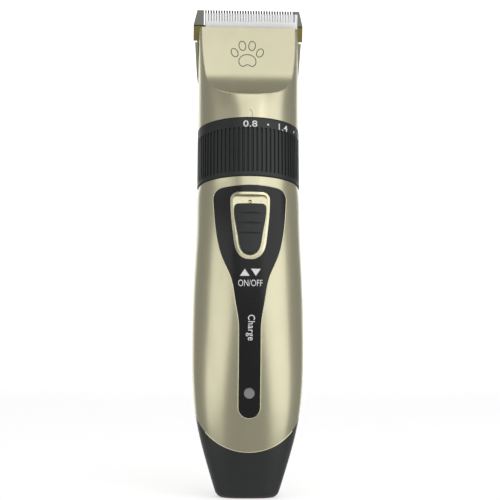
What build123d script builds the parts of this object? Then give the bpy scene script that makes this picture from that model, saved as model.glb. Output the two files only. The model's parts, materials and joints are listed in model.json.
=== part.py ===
"""Cordless pet clipper: a two-shell handle, a turning length ring and a detachable blade head.

Millimetres, +Z up. The origin is the centre of the flat foot of the handle, the switch faces -Y,
and the head leans back towards +Y. Pieces of the head are drawn in the head's own frame
(x across, y to the back, z along the leaning axis, from the neck plane up) and then placed by HEAD.
Pieces of the blade are drawn in the blade's frame (z from the tooth tips down along the blade,
y to the back of the shear face) and then placed by BLADE.
"""
from build123d import *
import math
import os

# Handle
HANDLE_LENGTH = 110.7      # foot to neck plane, along the centre line
BEND_START = 47.0          # height where the centre line starts to lean back
HEAD_LEAN = 8.0            # degrees, reached at the neck plane
TAIL_WIDTH = 21.4
TAIL_DEPTH = 16.6
BELLY_WIDTH = 40.2
BELLY_DEPTH = 36.4
BELLY_LOW = 45.0
BELLY_HIGH = 63.0
NECK_DIAMETER = 36.5
SHELL_WALL = 2.0
FOOT_RADIUS = 2.9
FOOT_WALL = 2.5
SEAM_BOTTOM = 16.5         # lowest point of the curved edge between shell and tail cap
SEAM_SIDE = 28.8           # height of that edge at the sides
SEAM_GAP = 0.12
SPIGOT_WALL = 1.4
SPIGOT_TOP = 33.0
FIT = 0.15                 # clearance of pieces that are pushed together

# Control panel, a keyhole-shaped inlay
PANEL_TOP = 110.0
PANEL_SHOULDER = 104.3
PANEL_HALF_WIDTH = 13.0
PANEL_WAIST = 76.6
PANEL_WAIST_HALF = 6.6
STRIP_HALF_WIDTH = 3.9
STRIP_TOP = 59.0
STRIP_BOTTOM = 28.25
PANEL_THICKNESS = 1.1
PANEL_GAP = 0.08
LENS_HEIGHT = 37.1
LENS_RADIUS = 1.85

# Switch
SWITCH_HEIGHT = 95.4       # middle of the switch opening
SWITCH_TILT = 6.3          # degrees that the panel leans back there
BEZEL_TOP = 12.0           # above the middle
BEZEL_BOTTOM = -12.0
BEZEL_HALF_WIDTH = 6.95
BEZEL_LOW_HALF = 5.9
BEZEL_LOW = -4.0
BEZEL_CORNER = 2.5
BEZEL_WALL = 0.85
BEZEL_PROUD = 0.25
RECESS_DEPTH = 1.75
RECESS_FLOOR = 1.0
KNOB_TOP = 7.9
KNOB_BOTTOM = -9.9
KNOB_HALF_WIDTH = 5.7
KNOB_LOW_HALF = 4.2
KNOB_CROWN = 20.0          # radius of the knob's crowned face
KNOB_PROUD = 0.6
KNOB_TRAVEL = 3.0
KNOB_GROOVES = (4.35, 0.8, -2.8)
GROOVE_WIDTH = 9.2
GROOVE_HEIGHT = 0.8
GROOVE_DEPTH = 0.5
SLIDE_GAP = 0.2            # between the knob and the recess floor
STEM_WIDTH = 3.0
STEM_LENGTH = 3.4

# Length ring
RING_HEIGHT = 21.8
RING_RADIUS = 18.7
RING_END_GAP = 0.15
RING_BAND = 3.7            # plain band with the numbers
RIB_COUNT = 72
RIB_DEPTH = 0.65
RIB_WIDTH = 0.9
RIB_START = 1.6
COLLAR_RADIUS = 16.3
COLLAR_WALL = 1.9
COLLAR_BOTTOM = -5.2
FLANGE = 0.6               # locating rib on the back half of the collar
FLANGE_BOTTOM = -4.2
FLANGE_TOP = -3.2
COLLAR_TOP = 29.0
RUNNING_GAP = 0.06
RING_SWEEP = 80.0          # degrees from the shortest to the longest setting

# Length adjustment
CUTTER_TRAVEL = 1.6        # along the blade
FOLLOWER_RADIUS = 1.2
FOLLOWER_HEIGHT = 12.0
CAM_DEPTH = 1.1
CAM_STEPS = 32
FORK_THICKNESS = 1.6
FORK_HALF_WIDTH = 2.5
FORK_TOP = 45.0
FORK_GAP = 0.3

# Head
HEAD_RADIUS = 18.55
HEAD_TOP = 61.7            # nose, along the head axis
HEAD_WALL = 2.0
HEAD_TOP_HALF_WIDTH = 18.6
HEAD_TOP_HALF_DEPTH = 11.0
HEAD_TOP_OFFSET = 3.5
HEAD_MORPH = 26.0          # where the round section starts to become a rounded rectangle
HEAD_STEP = 4.0            # between the head's cross-sections
NOSE_FRONT = -4.0
NOSE_ROOF = 2.1
FACET_ANGLE = 15.2
FACET_LOW = 41.5
FACET_TIP = 30.3
HINGE_BACK = 13.6
HINGE_HEIGHT = 37.6
HINGE_BOSS = 1.9
HINGE_ROD_RADIUS = 1.0
HINGE_GAP = 0.05
TONGUE_HALF_WIDTH = 6.0
EAR_WIDTH = 3.0
EAR_RADIUS = 1.9
SEAM_LEVEL = 38.9          # rear rim of the head shell
BLADE_SEAM = 0.3
REAR_RIM_GAP = 1.1         # lets the frame's lower corners swing past the rear rim

HEAD_SCREW_ANGLES = (50.0, 130.0)
HEAD_SCREW_HEIGHT = 25.5
INDEX_HEIGHT = 25.2        # setting mark on the front of the head

# Blade
BLADE_ANGLE = 20.0         # the blade leans forward from the head axis
TIP_BACK = -2.0
TIP_HEIGHT = 69.3
BLADE_WIDTH = 41.2
BLADE_TIP_WIDTH = 38.4     # the ground end narrows to this at the tips
BLADE_HEEL_WIDTH = 38.4    # behind the frame's cheeks
BLADE_SIDE = 11.4          # how far the full width reaches down from the tips
BLADE_LENGTH = 22.0
BLADE_THICKNESS = 1.8
FIXED_PITCH = 1.0
FIXED_GAPS = 34
FIXED_GAP_WIDTH = 0.42
FIXED_TOOTH = 5.5
TIP_THICKNESS = 0.55       # the fixed teeth thin down to this
CUTTER_WIDTH = 34.5
CUTTER_LENGTH = 12.0
CUTTER_THICKNESS = 1.6
CUTTER_SETBACK = 1.2
CUTTER_PITCH = 1.0
CUTTER_GAPS = 33
CUTTER_GAP_WIDTH = 0.42
CUTTER_TOOTH = 2.9
SHEAR_GAP = 0.02
CUTTER_PEG = 1.1
CUTTER_PEG_X = 8.0
CUTTER_PEG_Z = 2.0
SHOULDER = -12.0           # top of the frame's cheeks, from the tips
FRAME_HALF_WIDTH = 20.3    # at the nose; the cheeks follow the head's form down from it
FRAME_ROOM = 18.8          # half width between the cheeks
GUIDE_GAP = 0.4            # between the cutter guide and each cheek
FRAME_FRONT = -2.4
FRAME_PLATE = 3.4
BLADE_SCREW_X = 8.0
BLADE_SCREW_Z = -20.0

# Drive
MOTOR_WIDTH = 20.4
MOTOR_DEPTH = 15.4
MOTOR_BOTTOM = 1.5
MOTOR_TOP = 26.5
SHAFT_RADIUS = 1.0
MOTOR_SCREW_RADIUS = 0.8
MOTOR_SCREW_X = 6.0
SHAFT_TOP = 33.0
MOUNT_THICKNESS = 2.0
CAM_RADIUS = 4.6
CAM_BOTTOM = 29.6
CAM_TOP = 36.0
THROW = 1.2
PIN_RADIUS = 1.2
PIN_TOP = 45.0
YOKE_GAP = 0.35
YOKE_BOTTOM = 40.0
YOKE_ROOF = 47.0
YOKE_FRONT = -3.0
YOKE_BACK = 1.6

# Inside the handle
CELL_RADIUS = 7.0
CELL_LENGTH = 50.0
CELL_BOTTOM = 38.5
CELL_BACK = 2.2
TAB_THICKNESS = 0.4
BOARD_FRONT = -9.5
BOARD_THICKNESS = 1.6
BOARD_HALF_WIDTH = 8.0
BOARD_BOTTOM = 31.0
BOARD_TOP = 100.0
BOARD_SCREWS = ((-5.5, 39.0), (5.5, 82.0))
CHASSIS_FRONT = -7.4
CHASSIS_THICKNESS = 1.8
SCREW_RADIUS = 1.0
SCREW_HEAD = 1.9
BOSS_RADIUS = 2.2
SHELL_SCREWS = ((12.6, 47.0), (10.4, 92.0))
SCREW_BITE = 2.0
SHELL_SCREW_DEPTH = 3.2    # of the screw heads' seats under the surface
SHELL_SCREW_HEAD = 1.4
CROSS_WIDTH = 0.6          # of the slots in the shell screws' heads
CROSS_FLOOR = 0.7
CROSS_REACH = 1.3
SOCKET_BORE = 2.8
SOCKET_COLLAR = 3.9
SOCKET_WIDTH = 9.0
SOCKET_TOP = 13.0
SOCKET_PIN = 1.0
SOCKET_PIN_START = 3.0
LEAD_RADIUS = 0.5
LEAD_BEND = 5.0
LEAD_RISE = 6.0            # of the cell leads beyond the cell's ends

BIG = 60.0                 # larger than any piece, for cutting


def save(name, shape):
    """Writes one piece, or one group of like pieces, as its own file."""
    solids = shape.solids()
    compound = solids[0] if len(solids) == 1 else Compound(children=list(solids))
    export_step(compound, f"parts/{name}.step")


def block(x0, x1, y0, y1, z0, z1):
    """A box between six faces."""
    size = (x1 - x0, y1 - y0, z1 - z0)
    return Pos((x0 + x1) / 2, (y0 + y1) / 2, (z0 + z1) / 2) * Box(*size)


def upright(radius, z0, z1, x=0.0, y=0.0):
    """A round bar along Z."""
    return Pos(x, y, (z0 + z1) / 2) * Cylinder(radius, z1 - z0)


def tube(outer, inner, z0, z1):
    """A round tube along Z."""
    return upright(outer, z0, z1) - upright(inner, z0 - 1, z1 + 1)


def bar_x(radius, x0, x1, y=0.0, z=0.0):
    """A round bar along X."""
    return Pos((x0 + x1) / 2, y, z) * Rot(0, 90, 0) * Cylinder(radius, x1 - x0)


def bar_y(radius, y0, y1, x=0.0, z=0.0):
    """A round bar along Y."""
    return Pos(x, (y0 + y1) / 2, z) * Rot(90, 0, 0) * Cylinder(radius, y1 - y0)


def side_prism(line, half_width=BIG):
    """Extrudes a closed line drawn as (y, z) points or edges to both sides of the middle plane."""
    face = make_face(Plane.YZ * line)
    return extrude(face, half_width, both=True)


def front_prism(line, y0, y1):
    """Extrudes a closed line drawn as (x, z) from y0 to y1."""
    face = Pos(0, y0, 0) * make_face(Plane.XZ * line)
    return extrude(face, y1 - y0, dir=(0, 1, 0))


# ---------------------------------------------------------------- handle surface

def centre_line(s):
    """The place and tilt of the handle's cross-section at distance s along its centre line."""
    radius = (HANDLE_LENGTH - BEND_START) / math.radians(HEAD_LEAN)
    bent = min(max(s - BEND_START, 0), HANDLE_LENGTH - BEND_START)
    angle = bent / radius
    straight = max(s - HANDLE_LENGTH, 0)
    y = radius * (1 - math.cos(angle)) + straight * math.sin(angle)
    z = min(s, BEND_START) + radius * math.sin(angle) + straight * math.cos(angle)
    return Location((0, y, z), (-math.degrees(angle), 0, 0))


def swell(s, tail, belly, low, high):
    """A half size that grows from the tail as a sine, holds, and runs straight to the neck."""
    if s < low:
        return tail + (belly - tail) * math.sin(math.pi / 2 * s / low)
    if s < high:
        return belly
    share = min((s - high) / (HANDLE_LENGTH - high), 1) ** 1.2
    return belly + (NECK_DIAMETER / 2 - belly) * share


def half_width(s):
    """Half of the handle's width at distance s."""
    return swell(s, TAIL_WIDTH / 2, BELLY_WIDTH / 2, BELLY_LOW, BELLY_HIGH)


def half_depth(s):
    """Half of the handle's depth at distance s."""
    return swell(s, TAIL_DEPTH / 2, BELLY_DEPTH / 2, BELLY_HIGH, BELLY_HIGH)


def oval(width, depth, power, points=16):
    """A face with a superellipse outline, given its two half sizes."""
    outline = []
    for i in range(points):
        angle = 2 * math.pi * (i + 0.5) / points
        c = math.cos(angle)
        s = math.sin(angle)
        x = width * math.copysign(abs(c) ** (2 / power), c)
        y = depth * math.copysign(abs(s) ** (2 / power), s)
        outline.append((x, y))
    steps = [i / points for i in range(points + 1)]
    return make_face(Edge.make_spline(outline, periodic=True, parameters=steps))


def handle_section(s, inset):
    """The handle's cross-section, squarer towards the tail."""
    power = 2 + 0.7 * max(1 - s / BELLY_HIGH, 0)
    face = oval(half_width(s) - inset, half_depth(s) - inset, power)
    return centre_line(s) * face


def handle_body(inset=0.0, start=0.0, end=HANDLE_LENGTH):
    """The handle's outer form, or the same form drawn in by an even wall."""
    inner = [s for s in (8, 18, 30, BELLY_LOW, BELLY_HIGH, 80, 96) if start + 3 < s < end - 3]
    return loft([handle_section(s, inset) for s in [start, *inner, end]])


HEAD = centre_line(HANDLE_LENGTH)
BLADE = HEAD * Location((0, TIP_BACK, TIP_HEIGHT), (BLADE_ANGLE, 0, 0))


def front_of_handle(s):
    """Y of the handle's front surface at distance s."""
    return centre_line(s).position.Y - half_depth(s)


SWITCH = Location((0, front_of_handle(SWITCH_HEIGHT), SWITCH_HEIGHT), (-SWITCH_TILT, 0, 0))


# ---------------------------------------------------------------- outlines of the front

def panel_outline(grow=0.0):
    """Keyhole: a round-cornered shield that narrows through a waist into a long strip."""
    strip = STRIP_HALF_WIDTH + grow
    waist = PANEL_WAIST_HALF + grow
    shield = PANEL_HALF_WIDTH + grow
    top = PANEL_TOP + grow
    middle = (STRIP_TOP + PANEL_WAIST) / 2 + 1.5
    sides = []
    for side in (1, -1):
        flank = Spline(
            (side * strip, STRIP_TOP),
            (side * (strip + waist) / 2, middle),
            (side * waist, PANEL_WAIST),
            (side * (waist + shield) / 2, PANEL_WAIST + 7.6),
            (side * (shield - 1.1), PANEL_SHOULDER - 11.6),
            (side * shield, PANEL_SHOULDER),
            tangents=((0, 1), (side * 0.07, 1)),
        )
        corner = Spline(
            (side * shield, PANEL_SHOULDER),
            (side * (shield - 3.6), top - 0.75),
            tangents=((side * 0.07, 1), (-side, 0.12)),
        )
        foot = Line((side * strip, STRIP_BOTTOM + STRIP_HALF_WIDTH), (side * strip, STRIP_TOP))
        sides += [foot, flank, corner]
    edge = shield - 3.6
    cap = ThreePointArc((edge, top - 0.75), (0, top), (-edge, top - 0.75))
    low = STRIP_BOTTOM + STRIP_HALF_WIDTH
    sole = ThreePointArc((strip, low), (0, STRIP_BOTTOM - grow), (-strip, low))
    return Curve(children=[e for part in [*sides, cap, sole] for e in part.edges()])


def shield_outline(top, bottom, wide, low_half, low, corner):
    """Round-cornered top, sides that draw in, and a round bottom."""
    edges = []
    for side in (1, -1):
        edges.append(Spline(
            (side * wide, top - corner),
            (side * low_half, low),
            (side * low_half * 0.78, (low + bottom * 2) / 3),
            (0, bottom),
            tangents=((0, -1), (-side, 0)),
        ))
        turn = (side * (wide - corner), top)
        edges.append(RadiusArc((side * wide, top - corner), turn, -side * corner))
    edges.append(Line((wide - corner, top), (corner - wide, top)))
    return Curve(children=[e for part in edges for e in part.edges()])


def bezel_outline(inset=0.0):
    return shield_outline(
        BEZEL_TOP - inset, BEZEL_BOTTOM + inset, BEZEL_HALF_WIDTH - inset,
        BEZEL_LOW_HALF - inset, BEZEL_LOW, BEZEL_CORNER - inset,
    )


def knob_outline():
    low = (KNOB_TOP + KNOB_BOTTOM * 2) / 3
    return shield_outline(KNOB_TOP, KNOB_BOTTOM, KNOB_HALF_WIDTH, KNOB_LOW_HALF, low, 1.5)


# ---------------------------------------------------------------- handle pieces

def gold_region(gap=0.0):
    """The space above the curved edge of the tail cap."""
    rise = SEAM_SIDE - SEAM_BOTTOM
    radius = (rise ** 2 + half_width(SEAM_SIDE) ** 2) / (2 * rise)
    centre = SEAM_BOTTOM + radius
    over = block(-BIG, BIG, -BIG, BIG, centre, centre + 3 * BIG)
    return over + bar_y(radius + gap, -BIG, BIG, z=centre)


def front_region():
    """The space in front of the surface that halves the handle along its centre line."""
    places = [centre_line(s).position for s in (0, BEND_START, HANDLE_LENGTH)]
    middle = centre_line((BEND_START + HANDLE_LENGTH) / 2).position
    split = [
        Line((0, -5), (0, places[1].Z)),
        ThreePointArc((0, places[1].Z), (middle.Y, middle.Z), (places[2].Y, places[2].Z)),
        Polyline(
            (places[2].Y, places[2].Z), (places[2].Y + 5, BIG * 3),
            (-BIG, BIG * 3), (-BIG, -5), (0, -5),
        ),
    ]
    return side_prism(Curve(children=[e for part in split for e in part.edges()]))


def collar_seat():
    """Room for the neck collar and its locating flange in the two shells."""
    seat = upright(COLLAR_RADIUS + FIT, COLLAR_BOTTOM - 0.5, 5)
    flange = upright(COLLAR_RADIUS + FLANGE + FIT, FLANGE_BOTTOM - FIT, FLANGE_TOP + FIT)
    return HEAD * (seat + (flange & block(-BIG, BIG, 2, BIG, -BIG, BIG)))


def shell_bosses(front):
    """Screw posts that meet at the chassis ears."""
    posts = []
    for x, z in SHELL_SCREWS:
        for side in (1, -1):
            if front:
                posts.append(bar_y(BOSS_RADIUS, -BIG, CHASSIS_FRONT, side * x, z))
            else:
                posts.append(bar_y(BOSS_RADIUS, CHASSIS_FRONT + CHASSIS_THICKNESS, BIG, side * x, z))
    return posts


def screw_seat_back(x, z):
    """Y of the face that a shell screw's head rests on."""
    share = min(abs(x) / half_width(z), 1)
    back = centre_line(z).position.Y + half_depth(z) * math.sqrt(1 - share ** 2)
    return back - SHELL_SCREW_DEPTH


def handle_shells():
    outer = handle_body()
    wall_cut = handle_body(SHELL_WALL, FOOT_WALL, HANDLE_LENGTH + 3)
    gold = outer & gold_region()
    tube_only = gold - wall_cut - collar_seat()
    inside = handle_body(SHELL_WALL - 0.4, FOOT_WALL, HANDLE_LENGTH) & gold_region()
    inside -= collar_seat()
    front = tube_only & front_region()
    rear = tube_only - front_region()
    for post in shell_bosses(True):
        front += post & inside
    for post in shell_bosses(False):
        rear += post & inside
    for x, z in SHELL_SCREWS:
        for side in (1, -1):
            at = (side * x, z)
            front -= bar_y(SCREW_RADIUS, CHASSIS_FRONT - SCREW_BITE - 0.3, CHASSIS_FRONT + 1, *at)
            rear -= bar_y(SCREW_RADIUS + FIT, CHASSIS_FRONT, BIG, *at)
            rear -= bar_y(SCREW_HEAD + 0.3, screw_seat_back(x, z), BIG, *at)
    pocket = front_prism(panel_outline(PANEL_GAP), -BIG, 0) - handle_body(PANEL_THICKNESS + 0.05)
    front -= pocket
    front -= SWITCH * front_prism(bezel_outline(-PANEL_GAP), -6, 6)
    front -= bar_y(LENS_RADIUS + 0.05, -BIG, 0, z=LENS_HEIGHT)
    return front, rear


def shell_screws():
    screws = []
    for x, z in SHELL_SCREWS:
        for side in (1, -1):
            seat = screw_seat_back(x, z)
            screw = bar_y(SCREW_RADIUS, CHASSIS_FRONT - SCREW_BITE, seat + 0.1, side * x, z)
            head = bar_y(SCREW_HEAD, seat, seat + SHELL_SCREW_HEAD, side * x, z)
            half = CROSS_WIDTH / 2
            slot = block(-half, half, seat + CROSS_FLOOR, seat + 3, -CROSS_REACH, CROSS_REACH)
            cross = Pos(side * x, 0, z) * (slot + Rot(0, 90, 0) * slot)
            screws.append(screw + head - cross)
    return Compound(children=screws)


def tail_cap():
    body = handle_body()
    rim = body.faces().sort_by(Axis.Z)[0].edges()
    body = fillet(rim, FOOT_RADIUS)
    inner = SHELL_WALL + FIT + SPIGOT_WALL
    cap = body - gold_region(SEAM_GAP)
    spigot = handle_body(SHELL_WALL + FIT, FOOT_WALL, 60)
    cap += spigot & block(-BIG, BIG, -BIG, BIG, SEAM_BOTTOM - 4, SPIGOT_TOP)
    cap -= handle_body(inner, FOOT_WALL, 60)
    cap -= upright(SOCKET_COLLAR + 0.1, -1, FOOT_WALL + 1)
    return cap


def dc_socket():
    half = SOCKET_WIDTH / 2
    body = block(-half, half, -half, half, FOOT_WALL + 0.02, SOCKET_TOP)
    body += upright(SOCKET_COLLAR, 0.3, FOOT_WALL + 1)
    body -= upright(SOCKET_BORE, -1, SOCKET_TOP - 2)
    pin = upright(SOCKET_PIN, SOCKET_PIN_START, SOCKET_TOP - 1.5)
    return body + pin


def control_panel():
    plate = handle_body() - handle_body(PANEL_THICKNESS)
    panel = plate & front_prism(panel_outline(), -BIG, 0)
    panel -= SWITCH * front_prism(bezel_outline(-PANEL_GAP), -6, 6)
    panel -= bar_y(LENS_RADIUS + 0.05, -BIG, 0, z=LENS_HEIGHT)
    return panel


def charge_lens():
    return bar_y(LENS_RADIUS, front_of_handle(LENS_HEIGHT) + 0.1, BOARD_FRONT - 1.9, z=LENS_HEIGHT)


def charge_led():
    return block(-1.0, 1.0, BOARD_FRONT - 1.4, BOARD_FRONT, LENS_HEIGHT - 1, LENS_HEIGHT + 1)


def stem_slot():
    return block(
        -STEM_WIDTH / 2 - 0.3, STEM_WIDTH / 2 + 0.3, -1, 6,
        -STEM_LENGTH / 2 - 1.8, STEM_LENGTH / 2 + KNOB_TRAVEL - 1.2,
    )


def switch_bezel():
    cup = SWITCH * front_prism(bezel_outline(), -6, RECESS_DEPTH + RECESS_FLOOR)
    cup = cup & handle_body(-BEZEL_PROUD, 50)
    recess = front_prism(bezel_outline(BEZEL_WALL), -8, RECESS_DEPTH)
    dimple = Pos(0, RECESS_DEPTH - 0.35, BEZEL_TOP - 3.0) * Sphere(0.75)
    return cup - SWITCH * (recess + stem_slot() + dimple)


def lens_shape(width, height):
    """Two arcs that meet in points, for the grooves of the knob."""
    half = width / 2
    upper = ThreePointArc((-half, 0), (0, height / 2), (half, 0))
    lower = ThreePointArc((half, 0), (0, -height / 2), (-half, 0))
    return Curve(children=[*upper.edges(), *lower.edges()])


def switch_knob():
    bottom = RECESS_DEPTH - SLIDE_GAP
    knob = front_prism(knob_outline(), -6, bottom)
    knob = knob & upright(KNOB_CROWN, KNOB_BOTTOM - 2, KNOB_TOP + 2, y=KNOB_CROWN - KNOB_PROUD)
    rim = knob.edges().filter_by(lambda e: e.center().Y < bottom - 0.6 and e.length > 2)
    knob = fillet(rim.filter_by(Axis.Y, reverse=True), 0.35)
    for z in KNOB_GROOVES:
        floor = -KNOB_PROUD + GROOVE_DEPTH
        knob -= Pos(0, 0, z) * front_prism(lens_shape(GROOVE_WIDTH, GROOVE_HEIGHT), -6, floor)
    stem = block(
        -STEM_WIDTH / 2, STEM_WIDTH / 2, bottom - 0.2, RECESS_DEPTH + RECESS_FLOOR + 0.7,
        -STEM_LENGTH / 2 - 1.5, STEM_LENGTH / 2 - 1.5,
    )
    nub_room = block(-0.85, 0.85, RECESS_DEPTH + 0.6, 6, -0.85 - 1.5, 0.85 - 1.5)
    return SWITCH * (knob + stem - nub_room)


def slide_switch():
    """The switch on the board, hollow where its actuator runs."""
    z = SWITCH_HEIGHT
    body = block(-2.2, 2.2, BOARD_FRONT - 2.0, BOARD_FRONT, z - 4.8, z + 5.2)
    body -= block(-1.05, 1.05, BOARD_FRONT - 4, BOARD_FRONT - 0.5, z - 4.3, z + 3.9)
    return body


def switch_actuator():
    z = -1.5
    inside = RECESS_DEPTH + RECESS_FLOOR
    nub = block(-0.7, 0.7, RECESS_DEPTH + 0.9, inside + 1.75, z - 0.7, z + 0.7)
    shoe = block(-0.95, 0.95, inside + 1.75, inside + 2.4, z - 1.4, z + 1.4)
    return SWITCH * (nub + shoe)


def circuit_board():
    back = BOARD_FRONT + BOARD_THICKNESS
    board = block(-BOARD_HALF_WIDTH, BOARD_HALF_WIDTH, BOARD_FRONT, back, BOARD_BOTTOM, BOARD_TOP)
    for x, z in BOARD_SCREWS:
        board -= bar_y(SCREW_RADIUS + FIT, -BIG, BIG, x, z)
    return board


def board_chip():
    return block(-2.5, 2.5, BOARD_FRONT - 1.5, BOARD_FRONT, 55.0, 62.0)


def board_screws():
    screws = []
    for x, z in BOARD_SCREWS:
        stem = bar_y(SCREW_RADIUS, BOARD_FRONT, CHASSIS_FRONT + CHASSIS_THICKNESS, x, z)
        head = bar_y(SCREW_HEAD, BOARD_FRONT - 1.2, BOARD_FRONT, x, z)
        screws.append(stem + head)
    return Compound(children=screws)


def inner_chassis():
    """Plate between board and cell, with the cell's end stops and ears for the shell screws."""
    back = CHASSIS_FRONT + CHASSIS_THICKNESS
    top = BOARD_TOP - 3
    plate = block(-8.4, 8.4, CHASSIS_FRONT, back, CELL_BOTTOM - 1.6, top)
    stop = CELL_BACK - 3.5
    plate += block(-7.5, 7.5, back - 0.5, stop, CELL_BOTTOM - 1.6, CELL_BOTTOM - 0.6)
    cell_top = CELL_BOTTOM + CELL_LENGTH
    plate += block(-7.5, 7.5, back - 0.5, stop, cell_top + 0.6, cell_top + 1.6)
    plate -= bar_y(LEAD_RADIUS + 0.4, -BIG, BIG, z=cell_top + LEAD_RISE)
    for x, z in SHELL_SCREWS:
        for side in (1, -1):
            edge = sorted((side * 7.0, side * x))
            plate += block(*edge, CHASSIS_FRONT, back, z - BOSS_RADIUS, z + BOSS_RADIUS)
            plate += bar_y(BOSS_RADIUS, CHASSIS_FRONT, back, side * x, z)
            plate -= bar_y(SCREW_RADIUS + FIT, CHASSIS_FRONT - 1, back + 1, side * x, z)
    for x, z in BOARD_SCREWS:
        plate += bar_y(2.0, BOARD_FRONT + BOARD_THICKNESS, CHASSIS_FRONT, x, z)
        plate -= bar_y(SCREW_RADIUS, BOARD_FRONT, back + 1, x, z)
    return plate


def battery_cell():
    top = CELL_BOTTOM + CELL_LENGTH
    cell = upright(CELL_RADIUS, CELL_BOTTOM, top - 1.2, y=CELL_BACK)
    return cell + upright(2.8, top - 1.3, top, y=CELL_BACK)


def cell_tabs():
    """Nickel strips welded to both ends of the cell."""
    top = CELL_BOTTOM + CELL_LENGTH
    front = CHASSIS_FRONT + CHASSIS_THICKNESS
    low = block(-2, 2, front + 0.2, CELL_BACK + 3, CELL_BOTTOM - TAB_THICKNESS, CELL_BOTTOM)
    high = block(-2, 2, front + 0.2, CELL_BACK + 3, top, top + TAB_THICKNESS)
    return Compound(children=[low, high])


def lead(*points):
    """A wire along straight runs joined by equal tangent arcs."""
    path = FilletPolyline(*points, radius=LEAD_BEND)
    wire = sweep(Plane(origin=path @ 0, z_dir=path % 0) * Circle(LEAD_RADIUS), path)
    share = wire.volume / (math.pi * LEAD_RADIUS ** 2 * path.length)
    print("lead", round(path.length, 1), "mm, bend radius", LEAD_BEND, "volume share", round(share, 4))
    return wire


def cell_leads():
    """From the back of the board to the tabs at both ends of the cell."""
    back = BOARD_FRONT + BOARD_THICKNESS
    y = CELL_BACK - 1
    high = CELL_BOTTOM + CELL_LENGTH
    low = CELL_BOTTOM
    wires = [
        lead((0, back, high + LEAD_RISE), (0, y, high + LEAD_RISE), (0, y, high + TAB_THICKNESS)),
        lead((0, back, low - LEAD_RISE), (0, y, low - LEAD_RISE), (0, y, low - TAB_THICKNESS)),
    ]
    return Compound(children=wires)


def motor_leads():
    """From the motor's terminals down to the back of the board's upper end."""
    y = BOARD_FRONT + BOARD_THICKNESS + LEAD_RADIUS
    wires = []
    for x in (-4, 4):
        start = (HEAD * Pos(x, -2, MOTOR_BOTTOM - 2)).position
        turn = (HEAD * Pos(x, -2, MOTOR_BOTTOM - 5.5)).position
        wires.append(lead(tuple(start), tuple(turn), (x, y, BOARD_TOP + 0.8), (x, y, BOARD_TOP - 2.6)))
    return Compound(children=wires)


def socket_leads():
    """From the inlet up to the back of the board's lower end."""
    y = BOARD_FRONT + BOARD_THICKNESS + LEAD_RADIUS
    wires = []
    for x in (-2.5, 2.5):
        wires.append(lead(
            (x, -1, SOCKET_TOP), (x, -1, SOCKET_TOP + 6),
            (x, y, BOARD_BOTTOM - 3.5), (x, y, BOARD_BOTTOM + 2.5),
        ))
    return Compound(children=wires)


# ---------------------------------------------------------------- neck and length ring

def neck_collar():
    inner = COLLAR_RADIUS - COLLAR_WALL
    collar = tube(COLLAR_RADIUS, inner, COLLAR_BOTTOM, COLLAR_TOP)
    flange = tube(COLLAR_RADIUS + FLANGE, inner, FLANGE_BOTTOM, FLANGE_TOP)
    collar += flange & block(-BIG, BIG, 2.2, BIG, -BIG, BIG)
    ledge = tube(inner + 0.2, inner - 1.5, MOTOR_TOP - 2, MOTOR_TOP)
    for side in (1, -1):
        edge = sorted((side * (inner - 2.5), side * (inner + 1)))
        ledge -= block(*edge, -FORK_HALF_WIDTH - 0.4, FORK_HALF_WIDTH + 0.4, 0, 40)
    collar += ledge
    slot = block(
        inner - 1, BIG, -FOLLOWER_RADIUS - 0.15, FOLLOWER_RADIUS + 0.15,
        FOLLOWER_HEIGHT - FOLLOWER_RADIUS - fork_travel() - 0.2, FOLLOWER_HEIGHT + FOLLOWER_RADIUS + 0.2,
    )
    collar -= slot
    for angle in HEAD_SCREW_ANGLES:
        collar -= Rot(0, 0, angle) * bar_x(SCREW_RADIUS, inner - 1, COLLAR_RADIUS + 1, z=HEAD_SCREW_HEIGHT)
    return HEAD * collar


def fork_travel():
    """How far the fork sinks along the head axis while the cutter runs its travel along the blade."""
    return CUTTER_TRAVEL * math.cos(math.radians(BLADE_ANGLE))


def adjust_ring():
    bore = COLLAR_RADIUS + RUNNING_GAP
    top = RING_HEIGHT - RING_END_GAP
    ring = tube(RING_RADIUS, bore, RING_END_GAP, top)
    outer_edges = ring.edges().filter_by(GeomType.CIRCLE).filter_by(lambda e: e.radius > bore + 0.5)
    ring = chamfer(outer_edges, 0.25)
    rib_end = RING_HEIGHT - RING_BAND
    middle = (RIB_START + rib_end) / 2
    half = (rib_end - RIB_START) / 2
    groove = Pos(RING_RADIUS, 0, 0) * upright(RIB_WIDTH / 2, -half + RIB_WIDTH / 2, half - RIB_WIDTH / 2)
    groove += Pos(RING_RADIUS, 0, half - RIB_WIDTH / 2) * Sphere(RIB_WIDTH / 2)
    groove += Pos(RING_RADIUS, 0, RIB_WIDTH / 2 - half) * Sphere(RIB_WIDTH / 2)
    groove = Pos(RIB_WIDTH / 2 - RIB_DEPTH, 0, middle) * groove
    grooves = [Rot(0, 0, 360 * (i + 0.5) / RIB_COUNT) * groove for i in range(RIB_COUNT)]
    ring -= grooves
    track = []
    for i in range(-1, CAM_STEPS + 2):
        share = i / CAM_STEPS
        hole = bar_x(FOLLOWER_RADIUS + 0.12, bore - 1, bore + CAM_DEPTH)
        drop = fork_travel() * min(max(share, 0), 1)
        track.append(Rot(0, 0, RING_SWEEP * share) * Pos(0, 0, FOLLOWER_HEIGHT - drop) * hole)
    return HEAD * (ring - track)


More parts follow.
